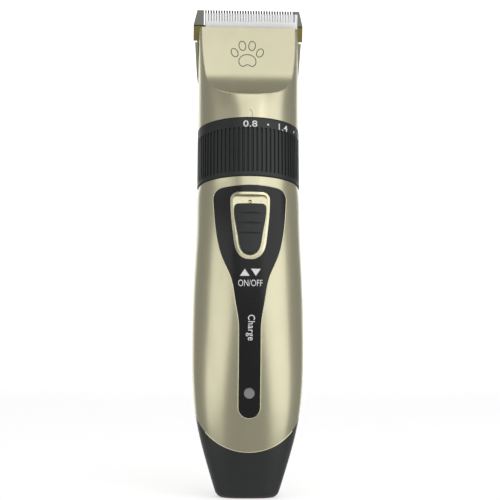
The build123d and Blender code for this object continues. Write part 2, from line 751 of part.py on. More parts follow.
def push_fork():
    """Carries the ring's turn up to the cutter guide: a base ring, two arms and a follower pin."""
    outer = COLLAR_RADIUS - COLLAR_WALL - 0.3
    inner = outer - FORK_THICKNESS
    fork = tube(outer, inner - 1.2, MOTOR_BOTTOM - 8, MOTOR_BOTTOM - 6)
    for side in (1, -1):
        edge = sorted((side * inner, side * (outer - 0.45)))
        fork += block(*edge, -FORK_HALF_WIDTH, FORK_HALF_WIDTH, MOTOR_BOTTOM - 7, FORK_TOP)
    pin_end = COLLAR_RADIUS + RUNNING_GAP + CAM_DEPTH - 0.25
    fork += bar_x(FOLLOWER_RADIUS, inner + 0.5, pin_end, z=FOLLOWER_HEIGHT)
    return HEAD * fork


# ---------------------------------------------------------------- drive

def motor_can():
    half_x = MOTOR_WIDTH / 2
    half_y = MOTOR_DEPTH / 2
    can = upright(half_x, MOTOR_BOTTOM, MOTOR_TOP) & block(-half_x, half_x, -half_y, half_y, 0, 40)
    can -= upright(SHAFT_RADIUS + RUNNING_GAP + 1.5, MOTOR_TOP - 4, MOTOR_TOP + 1)
    for side in (1, -1):
        can -= upright(MOTOR_SCREW_RADIUS, MOTOR_TOP - 2.5, MOTOR_TOP + 1, x=side * MOTOR_SCREW_X)
    return HEAD * can


def motor_bearing():
    bush = upright(SHAFT_RADIUS + RUNNING_GAP + 1.5, MOTOR_TOP - 4, MOTOR_TOP + 1)
    return HEAD * (bush - upright(SHAFT_RADIUS + RUNNING_GAP, MOTOR_TOP - 5, MOTOR_TOP + 2))


def motor_end_cap():
    half_x = MOTOR_WIDTH / 2 - 0.6
    half_y = MOTOR_DEPTH / 2 - 0.6
    cap = upright(half_x, MOTOR_BOTTOM - 2, MOTOR_BOTTOM) & block(-half_x, half_x, -half_y, half_y, -5, 5)
    return HEAD * (cap + upright(3.0, MOTOR_BOTTOM - 3, MOTOR_BOTTOM - 1))


def motor_mount():
    """Round plate that closes the collar's top, with notches for the fork's arms."""
    radius = COLLAR_RADIUS - COLLAR_WALL - 0.05
    plate = upright(radius, MOTOR_TOP, MOTOR_TOP + MOUNT_THICKNESS)
    plate -= upright(SHAFT_RADIUS + RUNNING_GAP + 1.6, 0, 60)
    for side in (1, -1):
        edge = sorted((side * (radius - 2.4), side * BIG))
        plate -= block(*edge, -FORK_HALF_WIDTH - 0.4, FORK_HALF_WIDTH + 0.4, 0, 60)
        plate -= upright(MOTOR_SCREW_RADIUS + 0.1, 0, 60, x=side * MOTOR_SCREW_X)
    return HEAD * plate


def motor_screws():
    screws = []
    top = MOTOR_TOP + MOUNT_THICKNESS
    for side in (1, -1):
        x = side * MOTOR_SCREW_X
        screw = upright(MOTOR_SCREW_RADIUS, MOTOR_TOP - 2, top, x=x) + upright(1.4, top, top + 0.9, x=x)
        screws.append(HEAD * screw)
    return Compound(children=screws)


def motor_shaft():
    return HEAD * upright(SHAFT_RADIUS, MOTOR_TOP - 3.8, SHAFT_TOP)


def eccentric_cam():
    cam = upright(CAM_RADIUS, CAM_BOTTOM, CAM_TOP)
    cam -= block(-BIG, -1.6, -BIG, BIG, CAM_BOTTOM + 2.5, CAM_TOP + 1)
    cam -= upright(SHAFT_RADIUS, CAM_BOTTOM - 1, SHAFT_TOP)
    cam -= upright(PIN_RADIUS, SHAFT_TOP + 0.5, CAM_TOP + 1, x=THROW)
    return HEAD * cam


def drive_pin():
    pin = upright(PIN_RADIUS, SHAFT_TOP + 0.5, PIN_TOP, x=THROW)
    pin = chamfer(pin.edges().sort_by(Axis.Z)[-1], 0.3)
    return HEAD * pin


# ---------------------------------------------------------------- head

def head_section(z, inset, widest):
    share = max((z - HEAD_MORPH) / (HEAD_TOP - HEAD_MORPH), 0) ** 1.5
    width = HEAD_RADIUS + (widest - HEAD_RADIUS) * share - inset
    depth = HEAD_RADIUS + (HEAD_TOP_HALF_DEPTH - HEAD_RADIUS) * share - inset
    return Pos(0, HEAD_TOP_OFFSET * share, z) * oval(width, depth, 2 + 2 * share, 24)


def head_form(inset=0.0, start=RING_HEIGHT, widest=HEAD_TOP_HALF_WIDTH):
    steps = math.ceil((HEAD_TOP + 2 - start) / HEAD_STEP)
    rise = (HEAD_TOP + 2 - start) / steps
    return loft([head_section(start + i * rise, inset, widest) for i in range(steps + 1)])


def blade_line(y, z):
    """Head-frame (y, z) of a point given in the blade's frame."""
    lean = math.radians(BLADE_ANGLE)
    back = TIP_BACK + y * math.cos(lean) - z * math.sin(lean)
    up = TIP_HEIGHT + y * math.sin(lean) + z * math.cos(lean)
    return (back, up)


def front_profile(inset=0.0):
    """Side view of everything behind the facet and its scoop."""
    lean = math.radians(FACET_ANGLE)
    shift = inset / math.cos(lean)
    slope = math.tan(lean)
    top = (NOSE_FRONT + shift, HEAD_TOP)
    low = (NOSE_FRONT - (HEAD_TOP - FACET_LOW) * slope + shift, FACET_LOW)
    tip = (-HEAD_RADIUS + inset, FACET_TIP - inset * 0.4)
    scoop = TangentArc(low, tip, tangent=(-math.sin(lean), -math.cos(lean)))
    out = scoop % 1
    far = (tip[0] + 6 * out.X, tip[1] + 6 * out.Y)
    beyond = (top[0] + 10 * slope, top[1] + 10)
    rest = Polyline(beyond, (BIG, beyond[1]), (BIG, 0), (-BIG, 0), (-BIG, far[1]), far, tip)
    edges = [*Line(beyond, low).edges(), *scoop.edges(), *rest.edges()]
    return side_prism(Curve(children=edges))


def seam_line(seam=0.0, rim=0.0):
    """Side view of the region in front of the blade unit, grown by its gaps."""
    upper = blade_line(FRAME_FRONT + seam, 8)
    lower = blade_line(FRAME_FRONT + seam, -24.5)
    level = SEAM_LEVEL + rim
    points = [upper, lower, (HINGE_BACK - 2.4, level), (BIG, level), (BIG, 0), (-BIG, 0)]
    points += [(-BIG, upper[1]), upper]
    return side_prism(Polyline(*points))


def back_profile():
    """Side view of everything in front of the blade unit's back."""
    heel = blade_line(0, -BLADE_LENGTH)
    tip = blade_line(0, 10)
    points = [tip, heel, (HINGE_BACK + HINGE_BOSS, HINGE_HEIGHT + 0.6), (HEAD_RADIUS - 0.6, 33.5)]
    points += [(HEAD_RADIUS + 0.4, 31.5), (HEAD_RADIUS + 0.4, 0), (-BIG, 0), (-BIG, tip[1]), tip]
    return side_prism(Polyline(*points))


def hinge_axis_bar(radius, x0, x1):
    return bar_x(radius, x0, x1, HINGE_BACK, HINGE_HEIGHT)


def head_shell():
    outer = head_form() & front_profile() & back_profile() & seam_line()
    outer -= block(-BIG, BIG, -BIG, BIG, HEAD_TOP, BIG * 2)
    hollow = head_form(HEAD_WALL, RING_HEIGHT - 2) & front_profile(HEAD_WALL)
    hollow -= block(-BIG, BIG, -BIG, BIG, HEAD_TOP - NOSE_ROOF, BIG * 2)
    hollow = hollow & block(-BIG, BIG, -BIG, HINGE_BACK + 2, 0, BIG * 2)
    shell = outer - hollow
    reach = TONGUE_HALF_WIDTH + 0.2
    foot = HINGE_HEIGHT - 5
    for side in (1, -1):
        edge = sorted((side * reach, side * (reach + EAR_WIDTH)))
        ear = block(*edge, HINGE_BACK - EAR_RADIUS, HINGE_BACK + 3, foot, HINGE_HEIGHT)
        ear += hinge_axis_bar(EAR_RADIUS, *edge)
        shell += ear & head_form(0.3, RING_HEIGHT) & back_profile()
    shell -= hinge_axis_bar(HINGE_BOSS + 0.5, -reach, reach)
    shell -= block(-reach, reach, HINGE_BACK - 4, BIG, HINGE_HEIGHT - 0.5, BIG)
    shell -= hinge_axis_bar(HINGE_ROD_RADIUS, -reach - EAR_WIDTH, reach + EAR_WIDTH)
    shell -= upright(COLLAR_RADIUS + 0.1, 0, COLLAR_TOP + 0.2)
    for angle in HEAD_SCREW_ANGLES:
        hole = bar_x(SCREW_RADIUS + FIT, 0, BIG, z=HEAD_SCREW_HEIGHT)
        sink = bar_x(SCREW_HEAD + 0.2, HEAD_RADIUS - 0.9, BIG, z=HEAD_SCREW_HEIGHT)
        shell -= Rot(0, 0, angle) * (hole + sink)
    shell -= Pos(0, -HEAD_RADIUS, INDEX_HEIGHT) * Rot(90, 0, 0) * extrude(Ellipse(0.6, 1.6), 0.7, both=True)
    return HEAD * shell


def head_screws():
    screws = []
    for angle in HEAD_SCREW_ANGLES:
        seat = HEAD_RADIUS - 0.9
        screw = bar_x(SCREW_RADIUS, COLLAR_RADIUS - COLLAR_WALL + 0.1, seat, z=HEAD_SCREW_HEIGHT)
        screw += bar_x(SCREW_HEAD, seat, seat + 0.7, z=HEAD_SCREW_HEIGHT)
        screws.append(HEAD * Rot(0, 0, angle) * screw)
    return Compound(children=screws)


def hinge_rod():
    reach = TONGUE_HALF_WIDTH + EAR_WIDTH
    return HEAD * hinge_axis_bar(HINGE_ROD_RADIUS, -reach, reach)


# ---------------------------------------------------------------- blade unit

def blade_frame():
    """Plate behind the cutter with side cheeks, and the tongue that turns on the hinge rod."""
    outer = head_form(widest=FRAME_HALF_WIDTH) & back_profile()
    outer -= seam_line(BLADE_SEAM, REAR_RIM_GAP)
    outer = outer & front_profile()
    local = BLADE.inverse() * HEAD * outer
    local -= block(-BIG, BIG, -BIG, BIG, SHOULDER, BIG)
    local -= block(1.4 - FRAME_ROOM, FRAME_ROOM - 1.4, -BIG, -FRAME_PLATE, -BIG, BIG)
    floor = -CUTTER_SETBACK - CUTTER_LENGTH - CUTTER_TRAVEL - 2.6
    local -= block(-FRAME_ROOM, FRAME_ROOM, -BIG, 5, floor, BIG)
    leg = COLLAR_RADIUS - COLLAR_WALL - 0.3 - FORK_THICKNESS / 2
    for side in (1, -1):
        local -= bar_y(SCREW_RADIUS, -BIG, 1, side * BLADE_SCREW_X, BLADE_SCREW_Z)
        local -= block(side * leg - 1.6, side * leg + 1.6, -BIG, -1.2, -BLADE_LENGTH - 2, BIG)
    frame = HEAD.inverse() * BLADE * local
    ears = TONGUE_HALF_WIDTH + EAR_WIDTH + 0.5
    frame -= hinge_axis_bar(EAR_RADIUS + 0.5, -ears, ears)
    tongue = hinge_axis_bar(HINGE_BOSS, -TONGUE_HALF_WIDTH, TONGUE_HALF_WIDTH)
    neck = side_prism(Polyline(
        (HINGE_BACK - HINGE_BOSS, HINGE_HEIGHT), (HINGE_BACK + HINGE_BOSS * 0.9, HINGE_HEIGHT + 0.4),
        blade_line(-0.3, -BLADE_LENGTH - 4), blade_line(-FRAME_PLATE, -BLADE_LENGTH - 2),
        (HINGE_BACK - HINGE_BOSS, HINGE_HEIGHT),
    ), TONGUE_HALF_WIDTH)
    frame += tongue + neck
    frame -= hinge_axis_bar(HINGE_ROD_RADIUS + HINGE_GAP, -BIG, BIG)
    return HEAD * frame


def tooth_gaps(count, pitch, width, depth, y0, y1):
    """The gaps between teeth, as a list of cutters."""
    gaps = []
    for i in range(count):
        x = (i - (count - 1) / 2) * pitch
        gaps.append(block(x - width / 2, x + width / 2, y0, y1, -depth, BIG))
    return gaps


def fixed_blade():
    """Plate with ground teeth, widest between its tips and the frame's cheeks."""
    tip = BLADE_TIP_WIDTH / 2
    side = BLADE_WIDTH / 2
    back = BLADE_HEEL_WIDTH / 2
    right = [(tip, 0), (side, -FIXED_TOOTH), (side, -BLADE_SIDE), (back, -BLADE_SIDE), (back, -BLADE_LENGTH)]
    left = [(-x, z) for x, z in reversed(right)]
    plate = front_prism(Polyline(*right, *left, right[0]), 0, BLADE_THICKNESS)
    heel = (BLADE_THICKNESS, -FIXED_TOOTH - 3)
    above = (BLADE_THICKNESS + 3, -FIXED_TOOTH - 3)
    plate -= side_prism(Polyline(heel, above, (3, 1), (TIP_THICKNESS, 1), (TIP_THICKNESS, 0), heel))
    plate -= tooth_gaps(FIXED_GAPS, FIXED_PITCH, FIXED_GAP_WIDTH, FIXED_TOOTH, -1, BLADE_THICKNESS + 1)
    for side in (1, -1):
        plate -= bar_y(SCREW_RADIUS + 0.2, -1, BLADE_THICKNESS + 1, side * BLADE_SCREW_X, BLADE_SCREW_Z)
        plate -= bar_y(SCREW_HEAD + 0.15, BLADE_THICKNESS - 0.8, BIG, side * BLADE_SCREW_X, BLADE_SCREW_Z)
    return BLADE * plate


def blade_screws():
    screws = []
    for side in (1, -1):
        x = side * BLADE_SCREW_X
        screw = bar_y(SCREW_RADIUS, -FRAME_PLATE - 1.0, BLADE_THICKNESS - 0.8, x, BLADE_SCREW_Z)
        screw += bar_y(SCREW_HEAD, BLADE_THICKNESS - 0.8, BLADE_THICKNESS - 0.1, x, BLADE_SCREW_Z)
        screws.append(BLADE * screw)
    return Compound(children=screws)


def ceramic_cutter():
    half = CUTTER_WIDTH / 2
    top = -CUTTER_SETBACK
    bottom = top - CUTTER_LENGTH
    cutter = block(-half, half, -CUTTER_THICKNESS, -SHEAR_GAP, bottom, top)
    cutter = chamfer(cutter.faces().sort_by(Axis.Y)[0].edges().sort_by(Axis.Z)[-1], 0.9, 0.5)
    depth = CUTTER_SETBACK + CUTTER_TOOTH
    cutter -= tooth_gaps(CUTTER_GAPS, CUTTER_PITCH, CUTTER_GAP_WIDTH, depth, -5, 1)
    for side in (1, -1):
        cutter -= bar_y(CUTTER_PEG + 0.05, -5, 1, side * CUTTER_PEG_X, bottom + CUTTER_PEG_Z)
    return BLADE * Pos(THROW, 0, 0) * cutter


def drive_yoke():
    """Bridge on the cutter's face, with a riser down to the two tines that straddle the drive pin."""
    bottom = -CUTTER_SETBACK - CUTTER_LENGTH
    front = -CUTTER_THICKNESS
    bridge = block(-11, 11, front - 1.6, front, bottom + 0.2, bottom + 3.2)
    for side in (1, -1):
        bridge += bar_y(CUTTER_PEG, front - 0.5, front + 1.3, side * CUTTER_PEG_X, bottom + CUTTER_PEG_Z)
    slot = PIN_RADIUS + YOKE_GAP
    outer = slot + 1.8
    fork = block(-outer, outer, YOKE_FRONT, YOKE_BACK, YOKE_BOTTOM, YOKE_ROOF + 1.8)
    fork -= block(-slot, slot, -BIG, BIG, YOKE_BOTTOM - 1, YOKE_ROOF)
    fork -= block(-BIG, BIG, 0.6, BIG, YOKE_ROOF - 0.5, BIG)
    fork += block(-outer, outer, -2.6, -0.6, YOKE_ROOF, 58.3)
    return Pos(THROW, 0, 0) * (BLADE * bridge + HEAD * fork)


def cutter_guide():
    """Bar behind the cutter's heel that sets how far the cutter lies back, with two legs for the fork."""
    top = -CUTTER_SETBACK - CUTTER_LENGTH - 0.06
    half = FRAME_ROOM - GUIDE_GAP
    bar = block(-half, half, -CUTTER_THICKNESS, -SHEAR_GAP * 2, top - 2.0, top)
    legs = []
    middle = COLLAR_RADIUS - COLLAR_WALL - 0.3 - FORK_THICKNESS / 2
    foot_z = FORK_TOP + FORK_GAP
    join_y, join_z = blade_line(-CUTTER_THICKNESS / 2, top - 1)
    for side in (1, -1):
        x0, x1 = sorted((side * (middle - 1.2), side * (middle + 1.0)))
        leg = block(x0, x1, -1.6, 1.6, foot_z, foot_z + 2.0)
        leg += block(x0, x1, -1.6, join_y, foot_z + 0.3, foot_z + 2.6)
        leg += block(x0, x1, join_y - 1.6, join_y - 0.4, foot_z + 0.5, join_z)
        legs.append(leg)
    return BLADE * bar + [HEAD * leg for leg in legs]


def blade_spring():
    """Leaf spring screwed to the frame, with two arms over the yoke's bridge."""
    y = -FRAME_PLATE
    leaf = block(-10.2, 10.2, y - 0.4, y, BLADE_SCREW_Z - 2.0, BLADE_SCREW_Z + 2.0)
    for side in (1, -1):
        x0, x1 = sorted((side * 5.6, side * 7.8))
        leaf += block(x0, x1, y - 0.4, y, BLADE_SCREW_Z, SHOULDER - 0.2)
        leaf -= bar_y(SCREW_RADIUS + FIT, -BIG, BIG, side * BLADE_SCREW_X, BLADE_SCREW_Z)
    return BLADE * leaf


PIECES = {
    "tail_cap": tail_cap,
    "control_panel": control_panel,
    "charge_lens": charge_lens,
    "charge_led": charge_led,
    "switch_bezel": switch_bezel,
    "switch_knob": switch_knob,
    "switch_actuator": switch_actuator,
    "slide_switch": slide_switch,
    "circuit_board": circuit_board,
    "board_chip": board_chip,
    "board_screws": board_screws,
    "inner_chassis": inner_chassis,
    "battery_cell": battery_cell,
    "cell_tabs": cell_tabs,
    "cell_leads": cell_leads,
    "motor_leads": motor_leads,
    "socket_leads": socket_leads,
    "dc_socket": dc_socket,
    "shell_screws": shell_screws,
    "neck_collar": neck_collar,
    "adjust_ring": adjust_ring,
    "push_fork": push_fork,
    "motor_can": motor_can,
    "motor_bearing": motor_bearing,
    "motor_end_cap": motor_end_cap,
    "motor_mount": motor_mount,
    "motor_screws": motor_screws,
    "motor_shaft": motor_shaft,
    "eccentric_cam": eccentric_cam,
    "drive_pin": drive_pin,
    "head_shell": head_shell,
    "head_screws": head_screws,
    "hinge_rod": hinge_rod,
    "blade_frame": blade_frame,
    "fixed_blade": fixed_blade,
    "blade_screws": blade_screws,
    "blade_spring": blade_spring,
    "ceramic_cutter": ceramic_cutter,
    "drive_yoke": drive_yoke,
    "cutter_guide": cutter_guide,
}


def main():
    os.makedirs("parts", exist_ok=True)
    front, rear = handle_shells()
    save("front_shell", front)
    save("rear_shell", rear)
    for name, make in PIECES.items():
        save(name, make())


if __name__ == "__main__":
    main()
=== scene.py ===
"""The looks of a cordless pet clipper: finishes, printed marks, edge lines, studio and camera."""
import json
import math
import bmesh
import bpy
from mathutils import Matrix, Vector
from mathutils.bvhtree import BVHTree


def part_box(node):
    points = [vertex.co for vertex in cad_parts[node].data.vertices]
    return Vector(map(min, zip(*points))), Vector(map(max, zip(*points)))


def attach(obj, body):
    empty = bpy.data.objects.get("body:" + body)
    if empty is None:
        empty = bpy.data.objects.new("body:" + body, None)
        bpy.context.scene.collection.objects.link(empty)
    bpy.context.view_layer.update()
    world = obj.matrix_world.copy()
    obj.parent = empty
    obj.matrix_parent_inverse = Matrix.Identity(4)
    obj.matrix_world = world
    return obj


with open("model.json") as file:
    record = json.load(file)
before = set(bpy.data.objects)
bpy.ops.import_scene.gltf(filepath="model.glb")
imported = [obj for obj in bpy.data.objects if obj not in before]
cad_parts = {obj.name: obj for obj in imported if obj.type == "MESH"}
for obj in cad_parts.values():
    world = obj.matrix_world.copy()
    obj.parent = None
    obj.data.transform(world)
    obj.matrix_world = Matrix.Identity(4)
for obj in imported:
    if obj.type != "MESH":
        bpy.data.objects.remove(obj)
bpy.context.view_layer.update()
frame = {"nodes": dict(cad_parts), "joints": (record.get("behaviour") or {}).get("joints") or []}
NODES = frame["nodes"]
MM = 0.001


# ---------------------------------------------------------------- shader writing

class Value:
    """A value that varies over a surface; arithmetic on it adds Math nodes."""

    def __init__(self, finish, socket):
        self.finish = finish
        self.socket = socket

    def math(self, operation, first, second):
        return self.finish.node("ShaderNodeMath", {"operation": operation}, {0: first, 1: second})

    def __add__(self, other):
        return self.math("ADD", self, other)

    def __sub__(self, other):
        return self.math("SUBTRACT", self, other)

    def __rsub__(self, other):
        return self.math("SUBTRACT", other, self)

    def __mul__(self, other):
        return self.math("MULTIPLY", self, other)

    __radd__ = __add__
    __rmul__ = __mul__


class Finish:
    """One material on a Principled shader; keyword names are its sockets, with _ for a space."""

    def __init__(self, name, colour, **constants):
        self.material = bpy.data.materials.new(name)
        self.material.use_nodes = True
        self.tree = self.material.node_tree
        self.tree.nodes.clear()
        self.colour = (*colour, 1.0)
        named = {key.replace("_", " "): value for key, value in constants.items()}
        shader = self.node("ShaderNodeBsdfPrincipled", {}, {"Base Color": self.colour, **named})
        self.shader = shader.socket.node
        self.node("ShaderNodeOutputMaterial", {}, {"Surface": shader})
        self.place = self.node("ShaderNodeTexCoord", {}, {}, "Object")

    def node(self, kind, settings, inputs, output=0):
        """Adds a node, sets its settings, then its sockets from values or links."""
        node = self.tree.nodes.new(kind)
        for key, value in settings.items():
            if key == "stops":
                ramp = node.color_ramp.elements
                while len(ramp) < len(value):
                    ramp.new(1.0)
                for stop, (at, tone) in zip(ramp, value):
                    stop.position = at
                    stop.color = (tone, tone, tone, 1)
            else:
                setattr(node, key, value)
        for key, value in inputs.items():
            if isinstance(value, Value):
                self.tree.links.new(value.socket, node.inputs[key])
            else:
                node.inputs[key].default_value = value
        return Value(self, node.outputs[output]) if len(node.outputs) else None

    def feed(self, socket, value):
        """Links a varying value to one of the shader's sockets."""
        self.tree.links.new(value.socket, self.shader.inputs[socket])

    def along(self, direction, start, low, high):
        """0 to 1 over a stretch of a line through the start, which lies low to high from it."""
        spot = self.node("ShaderNodeVectorMath", {"operation": "SUBTRACT"}, {0: self.place, 1: start})
        both = {0: spot, 1: direction}
        run = self.node("ShaderNodeVectorMath", {"operation": "DOT_PRODUCT"}, both, "Value")
        return self.node("ShaderNodeMapRange", {}, {"Value": run, "From Min": low, "From Max": high})

    def noise(self, scale, detail=3.0, rough=0.5, stretch=(1, 1, 1)):
        """Noise with so many lumps to a metre, drawn out along the axes by stretch."""
        spot = self.node("ShaderNodeMapping", {}, {"Vector": self.place, "Scale": stretch})
        values = {"Vector": spot, "Scale": scale, "Detail": detail, "Roughness": rough}
        return self.node("ShaderNodeTexNoise", {}, values, "Fac")

    def ramp(self, value, *stops):
        """Black to white through the given stops, each a place and a tone."""
        return self.node("ShaderNodeValToRGB", {"stops": stops}, {"Fac": value})

    def tint(self, mask, other, over=None):
        """The finish's colour, or the one given, turning to another where the mask is white."""
        start = self.colour if over is None else over
        return self.node(
            "ShaderNodeMix", {"data_type": "RGBA"}, {0: mask, 6: start, 7: (*other, 1.0)}, 2
        )

    def bump(self, height, strength, distance):
        values = {"Height": height, "Strength": strength, "Distance": distance}
        self.feed("Normal", self.node("ShaderNodeBump", {}, values, "Normal"))


# ---------------------------------------------------------------- finishes

def painted_metal(name, colour, shade, roughness):
    """Metallic lacquer: fine flake, slow mottling and faint rub marks."""
    finish = Finish(name, colour, Metallic=0.92, Coat_Roughness=0.12, IOR=1.5)
    flake = finish.noise(9000, 1.0, 0.6)
    cloud = finish.noise(55, 3.0, 0.55)
    rub = finish.ramp(finish.noise(240, 5.0, 0.62, (1, 1, 0.12)), (0.56, 0.0), (0.74, 1.0))
    finish.feed("Base Color", finish.tint(flake * 0.30 + cloud * 0.35, shade))
    finish.feed("Roughness", cloud * 0.06 + rub * 0.07 + flake * 0.04 + (roughness - 0.06))
    finish.feed("Coat Weight", 0.35 - rub * 0.15)
    finish.bump(flake * 0.7 + cloud * 0.3, 0.12, 0.00004)
    return finish


def moulded(name, colour, roughness, grain=3500, depth=0.16, lift=0.02, coat=0.0):
    """Moulded plastic: spark-eroded grain, handling sheen and a trace of dust."""
    finish = Finish(name, colour, Coat_Roughness=0.08)
    texture = finish.noise(grain, 2.0, 0.6)
    sheen = finish.noise(70, 4.0, 0.6)
    dust = finish.ramp(finish.noise(1300, 2.0, 0.7), (0.66, 0.0), (0.80, 1.0))
    pale = tuple(c + lift for c in colour)
    finish.feed("Base Color", finish.tint(sheen * 0.5 + dust * 0.35, pale))
    finish.feed("Roughness", sheen * 0.14 + dust * 0.10 + (roughness - 0.07))
    finish.feed("Coat Weight", coat - sheen * (coat * 0.3))
    finish.bump(texture, depth, 0.00006)
    return finish


def bare_metal(name, colour, shade, roughness, grain=(1, 12, 1)):
    """Ground or plated metal: lines along one axis, stains and small scratches."""
    finish = Finish(name, colour, Metallic=1.0)
    lines = finish.noise(900, 2.0, 0.5, grain)
    stain = finish.noise(180, 3.0, 0.6)
    nick = finish.ramp(finish.noise(600, 5.0, 0.7, (1, 0.2, 1)), (0.62, 0.0), (0.70, 1.0))
    finish.feed("Base Color", finish.tint(lines * 0.35 + stain * 0.45, shade))
    finish.feed("Roughness", lines * 0.12 + stain * 0.10 + nick * 0.08 + (roughness - 0.11))
    finish.bump(lines + nick * 0.3, 0.20, 0.00003)
    return finish


BLADE_EDGE = (0.0, 12.104 * MM, 179.397 * MM)
BLADE_DOWN = (0.0, 0.207912, -0.978148)
GROUND = 5.5 * MM            # length of the blade's ground end
STEP_SHADOW = (0.3 * MM, 0.6 * MM)   # where the painted shadow of the ledge below the ground end fades out
COMB = 16.0 * MM             # half the width of the toothed part, which is painted darker as its shade
SOFT = 0.1 * MM              # how far one zone of the blade runs into the next


def coated_blade():
    """Titanium-coated steel whose toothed end is ground bare, with painted shade on the teeth and a
    painted shadow line below the ground end.
    """
    finish = Finish("blade_plate", (0.50, 0.51, 0.46), Metallic=1.0)
    lines = finish.noise(900, 2.0, 0.5, (1, 12, 12))
    stain = finish.noise(260, 3.0, 0.6)
    coated = finish.along(BLADE_DOWN, BLADE_EDGE, GROUND - SOFT / 2, GROUND + SOFT / 2)
    below = finish.along(BLADE_DOWN, BLADE_EDGE, GROUND + STEP_SHADOW[0], GROUND + STEP_SHADOW[1])
    step_shadow = coated - below
    left = finish.along((1, 0, 0), (0, 0, 0), -COMB - SOFT, -COMB)
    right = finish.along((1, 0, 0), (0, 0, 0), COMB, COMB + SOFT)
    comb_shade = left - right
    steel = finish.tint(lines * 0.4 + stain * 0.4, (0.36, 0.37, 0.33))
    # painted shade: the toothed part of the steel, behind the cutter, made darker
    steel = finish.tint(comb_shade, (0.14, 0.14, 0.13), steel)
    plate = finish.tint(coated, (0.47, 0.41, 0.14), steel)
    # painted shadow: a dark line just below the ground end, where the coated face drops back from it
    finish.feed("Base Color", finish.tint(step_shadow * 0.85, (0.05, 0.04, 0.02), plate))
    finish.feed("Roughness", lines * 0.14 + stain * 0.08 + 0.26 - coated * 0.05)
    finish.bump(lines, 0.20, 0.00003)
    return finish


def glossy_panel():
    """Piano-black inlay: deep gloss, polishing haze and a few hairlines."""
    finish = Finish("panel_gloss", (0.006, 0.006, 0.006), Coat_Roughness=0.20, Specular_IOR_Level=0.28)
    haze = finish.noise(90, 4.0, 0.6)
    hair = finish.ramp(finish.noise(420, 4.0, 0.7, (1, 1, 0.06)), (0.63, 0.0), (0.68, 1.0))
    finish.feed("Base Color", finish.tint(haze * 0.4, (0.014, 0.015, 0.016)))
    finish.feed("Roughness", haze * 0.06 + hair * 0.08 + 0.24)
    finish.feed("Coat Weight", 0.28 - haze * 0.10)
    finish.bump(haze + hair * 0.2, 0.04, 0.00008)
    return finish


def fired_ceramic():
    """Dense white ceramic: close speckle, slight unevenness of the glaze."""
    finish = Finish("cutter_ceramic", (0.83, 0.84, 0.85), Coat_Roughness=0.15)
    speck = finish.noise(2600, 2.0, 0.7)
    cloud = finish.noise(130, 3.0, 0.5)
    finish.feed("Base Color", finish.tint(speck * 0.25 + cloud * 0.2, (0.70, 0.71, 0.72)))
    finish.feed("Roughness", speck * 0.10 + cloud * 0.10 + 0.22)
    finish.feed("Coat Weight", 0.5 - cloud * 0.2)
    finish.bump(speck, 0.08, 0.00003)
    return finish


def smoked_lens():
    """Frosted indicator window."""
    finish = Finish("lens_frost", (0.34, 0.35, 0.33), Transmission_Weight=0.35, IOR=1.49)
    frost = finish.noise(1800, 3.0, 0.6)
    finish.feed("Base Color", finish.tint(frost * 0.6, (0.22, 0.23, 0.22)))
    finish.feed("Roughness", frost * 0.2 + 0.25)
    finish.bump(frost, 0.15, 0.00005)
    return finish


def printed_ink(name, colour, worn):
    """Pad-printed ink, thin in places."""
    finish = Finish(name, colour)
    patch = finish.noise(1600, 3.0, 0.65)
    finish.feed("Base Color", finish.tint(finish.ramp(patch, (0.45, 0.0), (0.8, 1.0)), worn))
    finish.feed("Roughness", patch * 0.2 + 0.42)
    finish.bump(patch, 0.10, 0.00003)
    return finish


GOLD = painted_metal("shell_gold", (0.70, 0.665, 0.465), (0.57, 0.535, 0.36), 0.31)
# a paler gold than the shell, for the edge beads: a painted highlight along the edges
HIGHLIGHT_GOLD = painted_metal("edge_gold_highlight", (0.86, 0.83, 0.60), (0.78, 0.74, 0.50), 0.24)
BEZEL = bare_metal("bezel_gold", (0.80, 0.77, 0.55), (0.66, 0.62, 0.42), 0.22)
PANEL = glossy_panel()
TAIL = moulded("tail_black", (0.013, 0.014, 0.014), 0.30, grain=2600, depth=0.10, coat=0.3)
RING = moulded("ring_black", (0.009, 0.011, 0.011), 0.40, depth=0.22, lift=0.008)
KNOB = moulded("knob_black", (0.012, 0.013, 0.014), 0.42, depth=0.25, lift=0.008)
BLADE = coated_blade()
STEEL = bare_metal("screw_steel", (0.50, 0.50, 0.50), (0.36, 0.36, 0.37), 0.30, (1, 1, 1))
BRONZE = bare_metal("bush_bronze", (0.45, 0.26, 0.11), (0.32, 0.19, 0.09), 0.38, (1, 1, 4))
NICKEL = bare_metal("tab_nickel", (0.60, 0.58, 0.52), (0.48, 0.46, 0.42), 0.33)
CERAMIC = fired_ceramic()
LENS = smoked_lens()
WHITE = moulded("yoke_white", (0.70, 0.70, 0.66), 0.45, grain=2200, lift=0.06)
DARK = moulded("inner_black", (0.022, 0.022, 0.023), 0.50, lift=0.03)
BOARD = moulded("board_green", (0.012, 0.075, 0.035), 0.38, grain=900, depth=0.3, coat=0.3)
WRAP = moulded("cell_wrap", (0.05, 0.16, 0.30), 0.32, grain=500, depth=0.12, coat=0.4)
WIRE = moulded("lead_sleeve", (0.42, 0.02, 0.02), 0.40, grain=1500, lift=0.05)
GLOW = moulded("led_body", (0.60, 0.62, 0.55), 0.25, grain=1200, coat=0.5)
PRINT = printed_ink("print_white", (0.68, 0.68, 0.67), (0.46, 0.46, 0.45))
ETCH = printed_ink("etch_grey", (0.045, 0.045, 0.035), (0.10, 0.10, 0.075))

